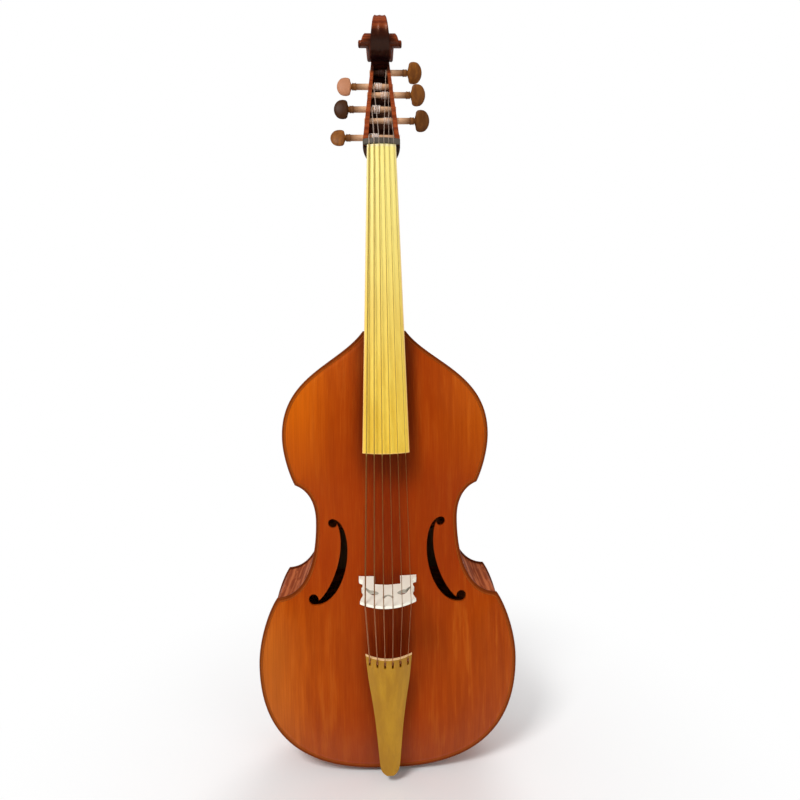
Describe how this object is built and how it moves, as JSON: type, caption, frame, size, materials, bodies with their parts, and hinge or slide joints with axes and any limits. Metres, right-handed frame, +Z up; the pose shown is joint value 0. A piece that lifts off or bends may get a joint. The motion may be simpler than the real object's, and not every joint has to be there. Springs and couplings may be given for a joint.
{
  "type": "bass viola da gamba",
  "caption": "Bowed string instrument with an arched belly, C sound holes, a folded flat back, a carved scroll, turning pegs, bridge and tailpiece.",
  "frame": {"origin": "on the centre line at the bottom of the body, in the joint between the belly and the ribs, where the arms of a stand carry the body", "axes": "+Z up along the neck towards the scroll, -Y out of the belly towards the listener, +X to the right as seen from in front"},
  "size_m": [0.405, 0.2314, 1.2209],
  "materials": {
    "belly_spruce": "varnished",
    "flamed_maple": "varnished",
    "inner_spruce": "bare",
    "fingerboard_boxwood": "oiled",
    "tailpiece_wood": "oiled",
    "ebony": "oiled",
    "bridge_maple": "bare",
    "peg_wood": "polished",
    "gut": "plain"
  },
  "bodies": {
    "instrument": {"top_plate": "belly_spruce", "back_plate": "flamed_maple", "upper_rib_left": "flamed_maple", "middle_rib_left": "flamed_maple", "lower_rib_left": "flamed_maple", "upper_rib_right": "flamed_maple", "middle_rib_right": "flamed_maple", "lower_rib_right": "flamed_maple", "front_lining_upper_left": "inner_spruce", "back_lining_upper_left": "inner_spruce", "front_lining_middle_left": "inner_spruce", "back_lining_middle_left": "inner_spruce", "front_lining_lower_left": "inner_spruce", "back_lining_lower_left": "inner_spruce", "front_lining_upper_right": "inner_spruce", "back_lining_upper_right": "inner_spruce", "front_lining_middle_right": "inner_spruce", "back_lining_middle_right": "inner_spruce", "front_lining_lower_right": "inner_spruce", "back_lining_lower_right": "inner_spruce", "neck_block": "inner_spruce", "tail_block": "inner_spruce", "upper_corner_block_left": "inner_spruce", "lower_corner_block_left": "inner_spruce", "upper_corner_block_right": "inner_spruce", "lower_corner_block_right": "inner_spruce", "back_brace_upper": "inner_spruce", "back_brace_lower": "inner_spruce", "back_brace_sound_plate": "inner_spruce", "bass_bar": "inner_spruce", "sound_post": "inner_spruce", "fingerboard": "fingerboard_boxwood", "neck": "flamed_maple", "nut": "ebony", "pegbox_with_scroll": "flamed_maple", "string_1": "gut", "string_2": "gut", "string_3": "gut", "string_4": "gut", "string_5": "gut", "string_6": "gut", "bridge": "bridge_maple", "tailpiece": "tailpiece_wood", "tail_hook_bar": "ebony"},
    "peg_1_and_winding": {"peg_1": "peg_wood", "string_winding_1": "gut"},
    "peg_2_and_winding": {"peg_2": "peg_wood", "string_winding_2": "gut"},
    "peg_3_and_winding": {"peg_3": "peg_wood", "string_winding_3": "gut"},
    "peg_4_and_winding": {"peg_4": "peg_wood", "string_winding_4": "gut"},
    "peg_5_and_winding": {"peg_5": "peg_wood", "string_winding_5": "gut"},
    "peg_6_and_winding": {"peg_6": "peg_wood", "string_winding_6": "gut"}
  },
  "joints": [
    {"name": "peg_1_turn", "type": "hinge", "parent": "instrument", "child": "peg_1_and_winding", "pos_m": [0, 0.02772, 1.00322], "axis": [-1, 0, 0], "range_deg": [-900, 180]},
    {"name": "peg_2_turn", "type": "hinge", "parent": "instrument", "child": "peg_2_and_winding", "pos_m": [0, 0.04422, 1.05619], "axis": [-1, 0, 0], "range_deg": [-900, 180]},
    {"name": "peg_3_turn", "type": "hinge", "parent": "instrument", "child": "peg_3_and_winding", "pos_m": [0, 0.05891, 1.10031], "axis": [-1, 0, 0], "range_deg": [-900, 180]},
    {"name": "peg_4_turn", "type": "hinge", "parent": "instrument", "child": "peg_4_and_winding", "pos_m": [0, 0.068, 1.12794], "axis": [-1, 0, 0], "range_deg": [-900, 180]},
    {"name": "peg_5_turn", "type": "hinge", "parent": "instrument", "child": "peg_5_and_winding", "pos_m": [0, 0.05351, 1.08388], "axis": [-1, 0, 0], "range_deg": [-900, 180]},
    {"name": "peg_6_turn", "type": "hinge", "parent": "instrument", "child": "peg_6_and_winding", "pos_m": [0, 0.03755, 1.03449], "axis": [-1, 0, 0], "range_deg": [-900, 180]}
  ]
}
